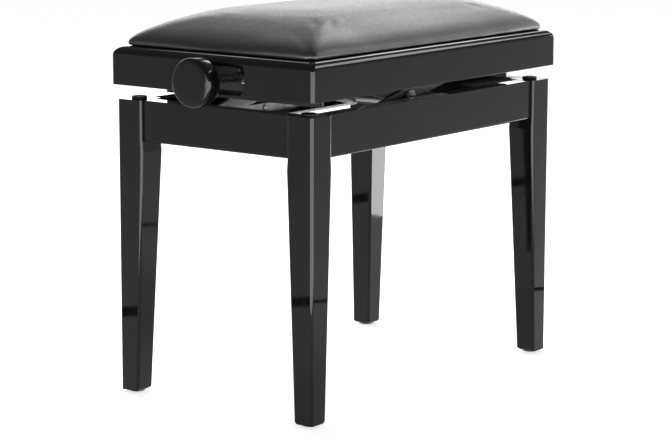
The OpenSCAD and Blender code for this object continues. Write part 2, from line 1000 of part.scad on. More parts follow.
place() upper_rail_at(false);  // upper_rail_back
place() upper_tie_left();
place() upper_tie_right();
place() upper_rail_screws();
place() lead_screw();
place() screw_collars();
place() thrust_washers();
place() knob();
place() knob_insert();
place() knob_set_screw();
place() assist_springs();
place() long_seat_rail_at(true);  // seat_rail_front
place() long_seat_rail_at(false);  // seat_rail_back
place() seat_rail_left();
place() seat_rail_right();
place() seat_corner_blocks();
place() seat_board();
place() board_screws();
place() seat_foam();
place() seat_cover();
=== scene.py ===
"""Looks of an adjustable piano bench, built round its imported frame.

Lengths are in metres in the frame's axes: +Z up, the long side along X, the knob at -X.
"""

import json
import logging
import math
from collections.abc import Callable, Iterable, Iterator, Sequence
from contextlib import contextmanager
from dataclasses import dataclass
from enum import Enum

import bmesh
import bpy
import numpy as np
from mathutils import Matrix, Vector, noise


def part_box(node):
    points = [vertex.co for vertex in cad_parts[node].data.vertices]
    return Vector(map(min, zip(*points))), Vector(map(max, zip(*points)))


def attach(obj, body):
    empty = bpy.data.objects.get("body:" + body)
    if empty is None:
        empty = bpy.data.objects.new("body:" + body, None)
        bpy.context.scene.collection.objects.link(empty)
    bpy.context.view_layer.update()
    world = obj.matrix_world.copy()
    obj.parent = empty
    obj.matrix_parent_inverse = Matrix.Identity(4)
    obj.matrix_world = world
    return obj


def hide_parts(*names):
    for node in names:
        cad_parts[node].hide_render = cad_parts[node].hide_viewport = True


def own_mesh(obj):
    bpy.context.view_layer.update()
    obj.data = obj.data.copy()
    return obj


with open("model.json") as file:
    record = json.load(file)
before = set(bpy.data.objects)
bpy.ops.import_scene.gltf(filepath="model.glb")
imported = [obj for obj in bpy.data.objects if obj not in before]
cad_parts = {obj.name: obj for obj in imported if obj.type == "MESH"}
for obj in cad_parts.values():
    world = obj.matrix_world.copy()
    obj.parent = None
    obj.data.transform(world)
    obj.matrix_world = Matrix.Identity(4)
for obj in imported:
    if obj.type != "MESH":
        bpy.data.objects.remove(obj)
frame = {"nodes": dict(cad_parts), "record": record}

LOG = logging.getLogger("piano_bench")
MM = 0.001
MERGE = 1e-6
FULL_TURN = 2 * math.pi
TURN_STEPS = 14
CAMERA_YAW = 37.133
CORNERS = ((1, 1), (-1, 1), (-1, -1), (1, -1))

Obj = bpy.types.Object
Material = bpy.types.Material
Socket = bpy.types.NodeSocket
Colour = tuple[float, float, float]
Point = tuple[float, float, float]
Flat = tuple[float, float]


class Axis(Enum):
    """Directions that a turned piece can stand along."""

    X = (0.0, math.pi / 2, 0.0)
    MINUS_X = (0.0, -math.pi / 2, 0.0)
    Y = (-math.pi / 2, 0.0, 0.0)
    Z = (0.0, 0.0, 0.0)


class Slot(Enum):
    """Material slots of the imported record."""

    LACQUER = "lacquered_wood"
    RAW_WOOD = "raw_wood"
    BRIGHT_STEEL = "bright_steel"
    BLACK_STEEL = "black_steel"
    OILED_STEEL = "oiled_steel"
    BRASS = "brass"
    NYLON = "nylon"
    RUBBER = "felted_rubber"
    GLIDE = "glide_plastic"
    KNOB = "knob_lacquer"
    LEATHERETTE = "leatherette"
    FOAM = "foam"


# ---- bench tools


def deselect() -> None:
    """Leaves no object selected."""
    bpy.ops.object.select_all(action="DESELECT")


def activate(obj: Obj) -> None:
    """Selects one object alone and makes it active."""
    deselect()
    obj.select_set(True)
    bpy.context.view_layer.objects.active = obj


@contextmanager
def editing(obj: Obj) -> Iterator[None]:
    """Opens a mesh in edit mode, and goes back to object mode at the end."""
    activate(obj)
    bpy.ops.object.mode_set(mode="EDIT")
    yield
    bpy.ops.object.mode_set(mode="OBJECT")


def settle(obj: Obj) -> Obj:
    """Puts an object's place, turn and size into its mesh."""
    activate(obj)
    bpy.ops.object.transform_apply(location=True, rotation=True, scale=True)
    return obj


def add_modifier(obj: Obj, kind: str, **settings: object) -> bpy.types.Modifier:
    """Adds a modifier of one of Blender's types, and sets its attributes by name."""
    modifier = obj.modifiers.new(kind.title(), kind)
    for key, value in settings.items():
        setattr(modifier, key, value)
    return modifier


def apply_modifier(obj: Obj, kind: str, **settings: object) -> None:
    """Adds a modifier as add_modifier does, and applies it."""
    activate(obj)
    bpy.ops.object.modifier_apply(modifier=add_modifier(obj, kind, **settings).name)


def cut_away(obj: Obj, cutter: Obj) -> None:
    """Takes one solid out of another, and removes it."""
    apply_modifier(obj, "BOOLEAN", operation="DIFFERENCE", object=cutter, solver="EXACT")
    bpy.data.objects.remove(cutter)


def bisect(obj: Obj, cuts: Sequence[tuple[Point, Point]]) -> None:
    """Cuts a solid at planes, each a point and a normal, and drops what lies past them."""
    with editing(obj):
        for point, normal in cuts:
            bpy.ops.mesh.select_all(action="SELECT")
            bpy.ops.mesh.bisect(plane_co=point, plane_no=normal, use_fill=True, clear_outer=True)


def pick_faces(obj: Obj, test: Callable[[Vector], bool]) -> None:
    """Selects the faces in edit mode whose normal passes a test."""
    bpy.ops.mesh.select_mode(type="FACE")
    mesh = bmesh.from_edit_mesh(obj.data)
    for face in mesh.faces:
        face.select_set(test(face.normal))
    bmesh.update_edit_mesh(obj.data)


def pick_rims(obj: Obj, test: Callable[[Vector], bool]) -> None:
    """Selects the open edges in edit mode whose middle passes a test."""
    bpy.ops.mesh.select_mode(type="EDGE")
    mesh = bmesh.from_edit_mesh(obj.data)
    for edge in mesh.edges:
        middle = (edge.verts[0].co + edge.verts[1].co) / 2
        edge.select_set(edge.is_boundary and test(middle))
    bmesh.update_edit_mesh(obj.data)


def clean(obj: Obj, angle: float = 32) -> Obj:
    """Merges doubles, turns faces outwards and smooths all but the sharp edges.

    Args:
        obj: the mesh object.
        angle: edges sharper than this many degrees stay sharp.

    Returns:
        The same object.
    """
    with editing(obj):
        bpy.ops.mesh.select_all(action="SELECT")
        bpy.ops.mesh.remove_doubles(threshold=MERGE)
        bpy.ops.mesh.normals_make_consistent(inside=False)
    bpy.ops.object.shade_smooth_by_angle(angle=math.radians(angle))
    return obj


def drawn_line(name: str, points: Sequence[Flat]) -> Obj:
    """Draws an open line in the XZ plane by extruding one vertex.

    Args:
        name: name of the new object.
        points: distance from the axis and height of each point, in metres.

    Returns:
        The new object, still in edit mode, with everything selected.
    """
    deselect()
    bpy.ops.mesh.primitive_plane_add(size=0.01)
    obj = bpy.context.object
    obj.name = name
    bpy.ops.object.mode_set(mode="EDIT")
    bpy.ops.mesh.select_mode(type="VERT")
    bpy.ops.mesh.select_all(action="SELECT")
    bpy.ops.mesh.merge(type="CENTER")
    bpy.ops.transform.translate(value=(points[0][0], 0, points[0][1]))
    for (r0, z0), (r1, z1) in zip(points, points[1:]):
        step = {"value": (r1 - r0, 0, z1 - z0)}
        bpy.ops.mesh.extrude_vertices_move(TRANSFORM_OT_translate=step)
    bpy.ops.mesh.select_all(action="SELECT")
    return obj


def place(obj: Obj, at: Point, axis: Axis = Axis.Z) -> Obj:
    """Turns a piece that was made upright at the origin, and moves it to its place."""
    obj.rotation_euler = axis.value
    obj.location = at
    return settle(obj)


def turned(name: str, points: Sequence[Flat], steps: int = 48, angle: float = 32) -> Obj:
    """Turns an outline about the Z axis, as on a lathe.

    Args:
        name: name of the new object.
        points: radius and height of each point of the outline, in metres.
        steps: number of steps round the axis.
        angle: edges sharper than this many degrees stay sharp.

    Returns:
        The new solid, at the origin.
    """
    obj = drawn_line(name, points)
    bpy.ops.mesh.spin(steps=steps, angle=FULL_TURN, center=(0, 0, 0), axis=(0, 0, 1))
    bpy.ops.object.mode_set(mode="OBJECT")
    return clean(obj, angle)


def threaded_rod(name: str, radius: float, pitch: float, length: float) -> Obj:
    """Cuts a rounded trapezoidal thread along a rod that stands on the origin.

    Args:
        name: name of the new object.
        radius: outer radius of the thread.
        pitch: rise of one turn.
        length: length of the rod.

    Returns:
        The new solid with flat, closed ends.
    """
    depth, flank_start, crest_start, crest_end = 0.45, 0.22, 0.42, 0.80
    root = radius - depth * pitch
    tooth = [(root, 0.0), (root, flank_start), (radius, crest_start), (radius, crest_end), (root, 1.0)]
    obj = drawn_line(name, [(r, z * pitch) for r, z in tooth])
    bpy.ops.object.mode_set(mode="OBJECT")
    turns = math.ceil(length / pitch) + 3
    apply_modifier(
        obj, "SCREW", axis="Z", screw_offset=pitch, iterations=turns,
        steps=TURN_STEPS, render_steps=TURN_STEPS, use_merge_vertices=True, merge_threshold=MERGE,
    )
    obj.location.z = -1.5 * pitch
    settle(obj)
    bisect(obj, [((0, 0, 0), (0, 0, -1)), ((0, 0, length), (0, 0, 1))])
    return clean(obj, 40)


def coil(name: str, radius: float, wire: float, pitch: float, length: float) -> Obj:
    """Winds round wire into a helix that stands on the origin.

    Args:
        name: name of the new object.
        radius: distance from the axis to the middle of the wire.
        wire: radius of the wire.
        pitch: rise of one turn.
        length: length of the coil.

    Returns:
        The new closed solid.
    """
    deselect()
    bpy.ops.mesh.primitive_circle_add(
        vertices=7, radius=wire, location=(radius, 0, 0), rotation=(math.pi / 2, 0, 0)
    )
    obj = bpy.context.object
    obj.name = name
    settle(obj)
    turns = max(1, round(length / pitch))
    apply_modifier(
        obj, "SCREW", axis="Z", screw_offset=length / turns, iterations=turns,
        steps=TURN_STEPS, render_steps=TURN_STEPS, use_merge_vertices=False,
    )
    with editing(obj):
        for test in (lambda p: p.z < length / 2, lambda p: p.z > length / 2):
            pick_rims(obj, test)
            bpy.ops.mesh.edge_face_add()
    return clean(obj, 60)


def copies(obj: Obj, places: Iterable[Matrix]) -> list[Obj]:
    """Copies a finished piece to several places, each copy with its own mesh.

    Args:
        obj: the piece, which is removed afterwards.
        places: one matrix for each copy.

    Returns:
        The copies, with their places in their meshes.
    """
    made = []
    for matrix in places:
        other = obj.copy()
        other.data = obj.data.copy()
        bpy.context.scene.collection.objects.link(other)
        other.data.transform(matrix)
        made.append(other)
    bpy.data.objects.remove(obj)
    return made


def joined(name: str, parts: Sequence[Obj]) -> Obj:
    """Joins several objects into one, under a new name."""
    deselect()
    for part in parts:
        part.select_set(True)
    bpy.context.view_layer.objects.active = parts[0]
    if len(parts) > 1:
        bpy.ops.object.join()
    parts[0].name = name
    return parts[0]


def mesh_object(
    name: str, points: Sequence[Point], faces: Sequence[tuple[int, ...]]
) -> Obj:
    """Makes an object from points and from faces that list their points."""
    mesh = bpy.data.meshes.new(name)
    mesh.from_pydata(points, [], faces)
    obj = bpy.data.objects.new(name, mesh)
    bpy.context.scene.collection.objects.link(obj)
    return obj


def lofted(name: str, rings: Sequence[Sequence[Point]], looped: bool) -> Obj:
    """Skins a stack of rings that have the same number of points.

    Args:
        name: name of the new object.
        rings: the points of each ring, in order round the middle.
        looped: whether the last ring joins the first. If not, a face closes each end.

    Returns:
        The new solid.
    """
    n, count = len(rings[0]), len(rings)
    faces = [
        (k * n + i, k * n + (i + 1) % n, (k + 1) % count * n + (i + 1) % n, (k + 1) % count * n + i)
        for k in range(count if looped else count - 1)
        for i in range(n)
    ]
    if not looped:
        faces += [tuple(reversed(range(n))), tuple(range((count - 1) * n, count * n))]
    return mesh_object(name, [point for ring in rings for point in ring], faces)


def arc(centre: Flat, radius: float, start: float, end: float, steps: int) -> list[Flat]:
    """Points on an arc, from one angle to another in degrees."""
    angles = [math.radians(start + (end - start) * i / steps) for i in range(steps + 1)]
    return [(centre[0] + radius * math.cos(a), centre[1] + radius * math.sin(a)) for a in angles]


def points_of(mesh: bpy.types.Mesh) -> np.ndarray:
    """A mesh's points, one to a row."""
    points = np.zeros(len(mesh.vertices) * 3)
    mesh.vertices.foreach_get("co", points)
    return points.reshape(-1, 3)


def smooth(x: np.ndarray | float, low: float, high: float) -> np.ndarray | float:
    """A soft step from 0 at low to 1 at high."""
    t = np.clip((x - low) / (high - low), 0, 1)
    return t * t * (3 - 2 * t)


# ---- finishes


@dataclass(frozen=True)
class Pattern:
    """A noise or cell pattern: its fineness, its stretch along each axis and its contrast."""

    scale: float
    detail: float = 3.0
    rough: float = 0.5
    stretch: Point | None = None
    distortion: float = 0.0
    cells: str = ""
    contrast: Flat | None = None


@dataclass(frozen=True)
class Relief:
    """A fine relief: its pattern, its depth in metres and its strength."""

    pattern: Pattern
    depth: float
    strength: float


class Tree:
    """A node tree that starts empty."""

    def __init__(self, owner: Material | bpy.types.World) -> None:
        """Clears the nodes of a material or a world."""
        owner.use_nodes = True
        self.tree = owner.node_tree
        self.tree.nodes.clear()

    def add(self, kind: str, **settings: object) -> bpy.types.Node:
        """Adds a node and sets its inputs, or its attributes, by name."""
        node = self.tree.nodes.new(kind)
        for key, value in settings.items():
            if key in node.inputs:
                node.inputs[key].default_value = value
            else:
                setattr(node, key, value)
        return node

    def link(self, source: Socket, target: Socket) -> None:
        """Links two sockets."""
        self.tree.links.new(source, target)

    def range(self, value: Socket, low: float, high: float, to_low: float, to_high: float) -> Socket:
        """Maps a value smoothly from one range to another."""
        node = self.add("ShaderNodeMapRange", interpolation_type="SMOOTHSTEP")
        for end, number in zip(("From Min", "From Max", "To Min", "To Max"), (low, high, to_low, to_high)):
            node.inputs[end].default_value = number
        self.link(value, node.inputs["Value"])
        return node.outputs["Result"]


class Graph(Tree):
    """A material's node tree round one Principled shader."""

    def __init__(self, name: str) -> None:
        """Starts a material with a shader and an output."""
        self.material = bpy.data.materials.new(name)
        super().__init__(self.material)
        self.shader = self.add("ShaderNodeBsdfPrincipled")
        output = self.add("ShaderNodeOutputMaterial")
        self.link(self.shader.outputs["BSDF"], output.inputs["Surface"])
        self.coords = self.add("ShaderNodeTexCoord").outputs["Object"]

    def set(self, **values: object) -> None:
        """Sets the shader's own sockets, with _ for a space in a name."""
        for key, value in values.items():
            socket = self.shader.inputs[key.replace("_", " ")]
            socket.default_value = (*value, 1.0) if isinstance(value, tuple) else value

    def stretched(self, scale: Point) -> Socket:
        """Coordinates that are scaled along each axis."""
        mapping = self.add("ShaderNodeMapping", Scale=scale)
        self.link(self.coords, mapping.inputs["Vector"])
        return mapping.outputs["Vector"]

    def value(self, pattern: Pattern) -> Socket:
        """A pattern's value: a cell's distance or a noise, from 0 to 1."""
        if pattern.cells:
            node = self.add("ShaderNodeTexVoronoi", Scale=pattern.scale, feature=pattern.cells)
        else:
            node = self.add(
                "ShaderNodeTexNoise", Scale=pattern.scale, Detail=pattern.detail,
                Roughness=pattern.rough, Distortion=pattern.distortion,
            )
        source = self.stretched(pattern.stretch) if pattern.stretch else self.coords
        self.link(source, node.inputs["Vector"])
        result = node.outputs["Distance" if pattern.cells else "Fac"]
        return self.range(result, *pattern.contrast, 0, 1) if pattern.contrast else result

    def tint(self, value: Socket, first: Colour, second: Colour) -> None:
        """Colours the shader between two colours, by a value."""
        node = self.add("ShaderNodeMix", data_type="RGBA")
        self.link(value, node.inputs["Factor"])
        ends = [socket for socket in node.inputs if socket.type == "RGBA"]
        for socket, colour in zip(ends, (first, second)):
            socket.default_value = (*colour, 1)
        result = next(socket for socket in node.outputs if socket.type == "RGBA")
        self.link(result, self.shader.inputs["Base Color"])

    def roughen(self, value: Socket, low: float, high: float) -> None:
        """Varies the roughness between two numbers, by a pattern's value."""
        self.link(self.range(value, 0.3, 0.7, low, high), self.shader.inputs["Roughness"])

    def bump(self, height: Socket, distance: float, strength: float = 1.0) -> None:
        """Adds a relief of a certain depth over any that is already there."""
        node = self.add("ShaderNodeBump", Distance=distance, Strength=strength)
        self.link(height, node.inputs["Height"])
        before = self.shader.inputs["Normal"]
        if before.is_linked:
            self.link(before.links[0].from_socket, node.inputs["Normal"])
        self.link(node.outputs["Normal"], before)


@dataclass(frozen=True)
class Coat:
    """A finish of two clouded colours, a patchy gloss and fine reliefs."""

    name: str
    first: Colour
    second: Colour
    cloud: Pattern
    sheen: Pattern
    smoothest: float
    roughest: float
    reliefs: tuple[Relief, ...]
    metallic: float = 0.0
    ior: float = 1.5

    def material(self) -> Material:
        """Makes the finish's nodes."""
        graph = Graph(self.name)
        graph.set(IOR=self.ior, Metallic=self.metallic)
        graph.tint(graph.value(self.cloud), self.first, self.second)
        graph.roughen(graph.value(self.sheen), self.smoothest, self.roughest)
        for relief in self.reliefs:
            graph.bump(graph.value(relief.pattern), relief.depth, relief.strength)
        return graph.material


def lacquer(name: str, polish: float) -> Coat:
    """Thick polished black lacquer with the slight swim of a sprayed and buffed coat."""
    return Coat(
        name, (0.0045, 0.0047, 0.0052), (0.0062, 0.0062, 0.0066),
        cloud=Pattern(9.0, 2.0, contrast=(0.3, 0.7)), ior=1.265,
        sheen=Pattern(60.0, 4.0, 0.6), smoothest=polish, roughest=polish + 0.03,
        reliefs=(
            Relief(Pattern(5.0, 1.0, 0.4), 0.0006, 0.35), Relief(Pattern(160.0, 1.0), 0.00002, 0.35),
        ),
    )


def powder_coat() -> Coat:
    """Satin black powder coat with its fine pebbled surface."""
    return Coat(
        "powder_coat", (0.012, 0.012, 0.013), (0.022, 0.022, 0.024), cloud=Pattern(30.0), ior=1.45,
        sheen=Pattern(90.0, 4.0), smoothest=0.28, roughest=0.42,
        reliefs=(Relief(Pattern(1400.0, 2.0), 0.00008, 0.5),),
    )


def zinc() -> Coat:
    """Zinc-plated steel, lightly clouded and scuffed along its length."""
    return Coat(
        "zinc_steel", (0.24, 0.24, 0.25), (0.13, 0.13, 0.135),
        cloud=Pattern(140.0, 4.0, 0.65), metallic=1.0,
        sheen=Pattern(260.0, 5.0, 0.7, (1, 1, 0.2)), smoothest=0.3, roughest=0.5,
        reliefs=(Relief(Pattern(700.0, 3.0, 0.6, (0.15, 1, 1)), 0.00003, 0.5),),
    )


def oiled_steel() -> Coat:
    """Dark steel with a film of grease."""
    return Coat(
        "oiled_steel", (0.055, 0.055, 0.058), (0.022, 0.021, 0.020),
        cloud=Pattern(180.0, 4.0), metallic=0.85,
        sheen=Pattern(300.0, 4.0), smoothest=0.25, roughest=0.5,
        reliefs=(Relief(Pattern(900.0, 2.0), 0.00002, 0.5),),
    )


def brass() -> Coat:
    """Turned brass with fine tool lines and a little tarnish."""
    return Coat(
        "turned_brass", (0.72, 0.52, 0.22), (0.48, 0.31, 0.12),
        cloud=Pattern(120.0, 4.0, contrast=(0.35, 0.7)), metallic=1.0,
        sheen=Pattern(200.0), smoothest=0.2, roughest=0.38,
        reliefs=(Relief(Pattern(1800.0, 2.0, 0.5, (1, 0.1, 0.1)), 0.00003, 0.6),),
    )


def moulded(
    name: str, colours: tuple[Colour, Colour], roughness: Flat, grain: float = 900.0, ior: float = 1.45
) -> Coat:
    """Moulded plastic or rubber with a faint spark-eroded grain."""
    return Coat(
        name, *colours, cloud=Pattern(80.0), ior=ior,
        sheen=Pattern(150.0), smoothest=roughness[0], roughest=roughness[1],
        reliefs=(Relief(Pattern(grain, 2.0), 0.00005, 0.6),),
    )


@dataclass(frozen=True)
class Timber:
    """Planed, unfinished wood with growth rings, pores and long fibres."""

    name: str
    early: Colour
    late: Colour
    along: Point

    def material(self) -> Material:
        """Makes the finish's nodes."""
        graph = Graph(self.name)
        rings = graph.add(
            "ShaderNodeTexWave", wave_type="RINGS", rings_direction="SPHERICAL",
            Scale=22.0, Distortion=5.0, Detail=3.0,
        )
        rings.inputs["Detail Scale"].default_value = 1.6
        graph.link(graph.stretched(self.along), rings.inputs["Vector"])
        graph.tint(rings.outputs["Fac"], self.early, self.late)
        fibre = graph.value(Pattern(900.0, 4.0, 0.6, self.along))
        graph.roughen(fibre, 0.62, 0.82)
        graph.bump(fibre, 0.00012, 0.5)
        return graph.material


def leatherette() -> Coat:
    """Black upholstery leatherette: a fine pebble grain, hairline creases and a soft sheen."""
    return Coat(
        "leatherette", (0.0085, 0.0085, 0.0086), (0.0135, 0.0130, 0.0125),
        cloud=Pattern(26.0, 4.0, 0.6), ior=1.45,
        sheen=Pattern(320.0, 4.0, 0.65), smoothest=0.36, roughest=0.47,
        reliefs=(
            Relief(Pattern(820.0, cells="SMOOTH_F1"), 0.00016, 0.55),
            Relief(Pattern(420.0, cells="DISTANCE_TO_EDGE", contrast=(0.0, 0.12)), 0.00008, 0.45),
            Relief(Pattern(34.0, 5.0, 0.62, (0.5, 1.6, 1.0), 0.8, contrast=(0.46, 0.5)), 0.00012, 0.35),
        ),
    )


def foam_block() -> Coat:
    """Open-celled upholstery foam."""
    bubbles = Pattern(520.0, cells="F1")
    return Coat(
        "foam_block", (0.52, 0.46, 0.26), (0.74, 0.68, 0.46), cloud=bubbles,
        sheen=bubbles, smoothest=0.95, roughest=0.95, reliefs=(Relief(bubbles, 0.0006, 0.8),),
    )


FINISHES = {
    Slot.LACQUER: lacquer("black_lacquer", 0.03),
    Slot.RAW_WOOD: Timber("raw_beech", (0.62, 0.44, 0.27), (0.46, 0.29, 0.16), (0.35, 1.0, 1.0)),
    Slot.BRIGHT_STEEL: zinc(),
    Slot.BLACK_STEEL: powder_coat(),
    Slot.OILED_STEEL: oiled_steel(),
    Slot.BRASS: brass(),
    Slot.NYLON: moulded("nylon", ((0.70, 0.68, 0.60), (0.62, 0.60, 0.52)), (0.35, 0.5)),
    Slot.RUBBER: moulded("rubber", ((0.004,) * 3, (0.008,) * 3), (0.5, 0.7), 500.0, 1.25),
    Slot.GLIDE: moulded("glide_plastic", ((0.014, 0.014, 0.015), (0.022,) * 3), (0.38, 0.55)),
    Slot.KNOB: lacquer("knob_lacquer", 0.06),
    Slot.LEATHERETTE: leatherette(),
    Slot.FOAM: foam_block(),
}
BOARD = Timber("birch_board", (0.66, 0.52, 0.34), (0.55, 0.40, 0.23), (0.25, 1.0, 1.0))


class Wardrobe:
    """Makes each finish once and puts it on pieces and nodes."""

    def __init__(self) -> None:
        """Starts with nothing made."""
        self.made: dict[str, Material] = {}

    def dress(self, obj: Obj, finish: Coat | Timber) -> None:
        """Gives an object one finish all over."""
        if finish.name not in self.made:
            self.made[finish.name] = finish.material()
        obj.data.materials.clear()
        obj.data.materials.append(self.made[finish.name])
        obj.data.polygons.foreach_set("material_index", [0] * len(obj.data.polygons))

    def hand_over(self, obj: Obj, body: str, slot: Slot, *nodes: str) -> None:
        """Finishes a new piece: its finish, body, slot and the nodes it stands for.

        Args:
            obj: the new piece, with its place in its mesh.
            body: the body that it rides on.
            slot: the record's material slot.
            nodes: CAD nodes that it stands for.
        """
        self.dress(obj, FINISHES[slot])
        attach(obj, body)
        if nodes:
            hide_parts(*nodes)
        LOG.info("%s: %d faces on %s", obj.name, len(obj.data.polygons), body)

    def set_out(
        self, name: str, obj: Obj, places: Iterable[Matrix], body: str, slot: Slot, node: str
    ) -> None:
        """Copies a piece to its places as one object in place of a node, and hands it over."""
        self.hand_over(joined(name, copies(obj, places)), body, slot, node)


WARDROBE = Wardrobe()


# ---- woodwork and steelwork


@dataclass
class CarriedNodes:
    """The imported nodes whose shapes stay, with their edges eased and their finishes on."""

    wood_edge: float = 0.9 * MM
    steel_edge: float = 0.35 * MM
    sharp: float = 40.0
    flatness: int = 60

    def ease(self, obj: Obj, width: float) -> None:
        """Breaks the sharp edges of a node by a narrow round."""
        add_modifier(obj, "WELD", merge_threshold=2 * MERGE)
        add_modifier(
            obj, "BEVEL", width=width, segments=2, limit_method="ANGLE",
            angle_limit=math.radians(self.sharp), miter_outer="MITER_ARC",
        )
        add_modifier(obj, "WEIGHTED_NORMAL", mode="FACE_AREA", weight=self.flatness)

    def finish(self) -> None:
        """Puts each node's finish on, by its slot in the record."""
        for part in frame["record"]["subparts"]:
            node, slot = part["node"], Slot(part["material_slot"])
            obj = frame["nodes"][node]
            finish = BOARD if node == "seat_board" else FINISHES[slot]
            WARDROBE.dress(obj, finish)
            if slot is Slot.LACQUER:
                self.ease(obj, self.wood_edge)
            elif slot is Slot.BLACK_STEEL:
                self.ease(obj, self.steel_edge)


# ---- seat frame


@dataclass
class SeatFrame:
    """Four mitred rails with a full round along their outer top edge and a knob slot."""

    depth: float = 30.0 * MM
    roundover: float = 12.0 * MM
    corner_r: float = 4.0 * MM
    softening: float = 0.6
    foot_ease: float = 0.8 * MM
    slot_l: float = 115.0 * MM
    slot_h: float = 34.0 * MM
    slot_rise: float = 19.5 * MM
    lip: float = 1.0 * MM
    steps: int = 14

    def section(self, height: float) -> list[Point]:
        """Inset, height and corner radius round the rails' cross-section.

        Args:
            height: height of the rails.

        Returns:
            One entry for each ring, from the inner lower edge outwards and over the top.
        """
        r, ease, inner = self.roundover, self.foot_ease, 0.5 * MM
        rings = [(self.depth, 0.0, inner)]
        rings += [(ease - x, ease + z, self.corner_r) for x, z in arc((0, 0), ease, -90, 0, 4)]
        for x, z in arc((0, height - r), r, 0, 90, self.steps):
            rings.append((r - x, z, self.corner_r + (r - x) * self.softening))
        return [*rings, (self.depth - ease, height, inner), (self.depth, height - ease, inner)]

    def corner_ring(self, half_x: float, half_y: float, radius: float) -> list[Flat]:
        """Points round a rectangle, all of them in its rounded corners."""
        points: list[Flat] = []
        for quarter, (sx, sy) in enumerate(CORNERS):
            centre = (sx * (half_x - radius), sy * (half_y - radius))
            points += arc(centre, radius, 90 * quarter, 90 * quarter + 90, 12)
        return points

    def solid(self, low: Vector, high: Vector) -> Obj:
        """Builds the whole frame as one closed ring."""
        middle, half = (low + high) / 2, (high - low) / 2
        rings = [
            [
                (middle.x + x, middle.y + y, low.z + z)
                for x, y in self.corner_ring(half.x - inset, half.y - inset, radius)
            ]
            for inset, z, radius in self.section(high.z - low.z)
        ]
        return clean(lofted("seat_frame", rings, looped=True))

    def cut_slot(self, obj: Obj, low: Vector) -> None:
        """Cuts the knob slot with its chamfered lip through the left rail."""
        r = self.slot_h / 2
        cutter = turned(
            "slot_cutter",
            [(0, -self.lip), (r + 2 * self.lip, -self.lip), (r, self.lip), (r, self.depth * 1.4),
             (0, self.depth * 1.4)],
        )
        place(cutter, (low.x, 0, low.z + self.slot_rise), Axis.X)
        for vertex in cutter.data.vertices:
            if abs(vertex.co.y) > MERGE:
                vertex.co.y += math.copysign(self.slot_l / 2 - r, vertex.co.y)
        cut_away(obj, cutter)

    def rail(self, whole: Obj, node: str, cuts: Sequence[tuple[Point, Point]]) -> None:
        """Cuts one rail out of the frame at its mitres.

        Args:
            whole: the whole frame.
            node: the rail's CAD node.
            cuts: a point and a normal for each mitre, the rail being on the normal's far side.
        """
        rail = copies(whole.copy(), [Matrix.Identity(4)])[0]
        rail.name = node + "_lacquered"
        bisect(rail, cuts)
        clean(rail, 30)
        add_modifier(rail, "WEIGHTED_NORMAL", keep_sharp=True)
        WARDROBE.hand_over(rail, "seat", Slot.LACQUER, node)

    def build(self) -> None:
        """Makes the frame and divides it into its four rails."""
        low = Vector(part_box("seat_rail_left")[0])
        high = Vector(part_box("seat_rail_right")[1])
        low.y, high.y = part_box("seat_rail_front")[0].y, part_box("seat_rail_back")[1].y
        whole = self.solid(low, high)
        self.cut_slot(whole, low)
        near_left, far_left = (low.x, low.y, 0), (low.x, high.y, 0)
        near_right, far_right = (high.x, low.y, 0), (high.x, high.y, 0)
        self.rail(whole, "seat_rail_left", [(near_left, (1, -1, 0)), (far_left, (1, 1, 0))])
        self.rail(whole, "seat_rail_right", [(near_right, (-1, -1, 0)), (far_right, (-1, 1, 0))])
        self.rail(whole, "seat_rail_front", [(near_left, (-1, 1, 0)), (near_right, (1, 1, 0))])
        self.rail(whole, "seat_rail_back", [(far_left, (-1, -1, 0)), (far_right, (1, -1, 0))])
        bpy.data.objects.remove(whole)


# ---- knob and lead screw


@dataclass
class Knob:
    """The turned knob: a flat face, a rounded rim and a narrower hub."""

    face_r: float = 26.6 * MM
    rim_r: float = 31.5 * MM
    hub_r: float = 21.0 * MM
    hub_l: float = 11.0 * MM
    bore_r: float = 9.6 * MM
    bore_l: float = 28.2 * MM
    hub_round: float = 1.2 * MM
    throat: float = 2.5 * MM
    back: float = 5.0 * MM
    shoulder: float = 5.2 * MM
    step: float = 0.9 * MM
    face_round: float = 0.6 * MM

    def outline(self, length: float) -> list[Flat]:
        """Radius and height along the knob, from its bore out round the rim to its face."""
        front = length - self.step
        return [
            (0, self.bore_l), (self.bore_r, self.bore_l), (self.bore_r, 0),
            *arc((self.hub_r - self.hub_round, self.hub_round), self.hub_round, -90, 0, 4),
            *arc((self.hub_r + self.throat, self.hub_l - 1.5 * MM), self.throat, 180, 90, 5),
            *arc((self.rim_r - self.back, self.hub_l + 6 * MM), self.back, -90, 0, 8),
            *arc((self.rim_r - self.shoulder, front - self.shoulder), self.shoulder, 0, 76, 10),
            (self.face_r + 0.15 * MM, length - 1.0 * MM), (self.face_r, length - 0.75 * MM),
            *arc((self.face_r - self.face_round, length - self.face_round), self.face_round, 8, 90, 5),
            (self.face_r * 0.5, length), (0, length),
        ]

    def build(self) -> None:
        """Turns the knob on its axis."""
        low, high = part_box("knob")
        knob = turned("knob_turned", self.outline(high.x - low.x), 96, 25)
        place(knob, (high.x, 0, (low.z + high.z) / 2), Axis.MINUS_X)
        WARDROBE.hand_over(knob, "screw", Slot.KNOB, "knob")


@dataclass
class LeadScrew:
    """The threaded lead screw."""

    radius: float = 6.0 * MM
    pitch: float = 3.0 * MM

    def build(self) -> None:
        """Cuts the thread along the screw's whole length."""
        low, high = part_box("lead_screw")
        rod = threaded_rod("lead_screw_thread", self.radius, self.pitch, high.x - low.x)
        place(rod, (low.x, 0, (low.z + high.z) / 2), Axis.X)
        WARDROBE.hand_over(rod, "screw", Slot.OILED_STEEL, "lead_screw")


# ---- springs


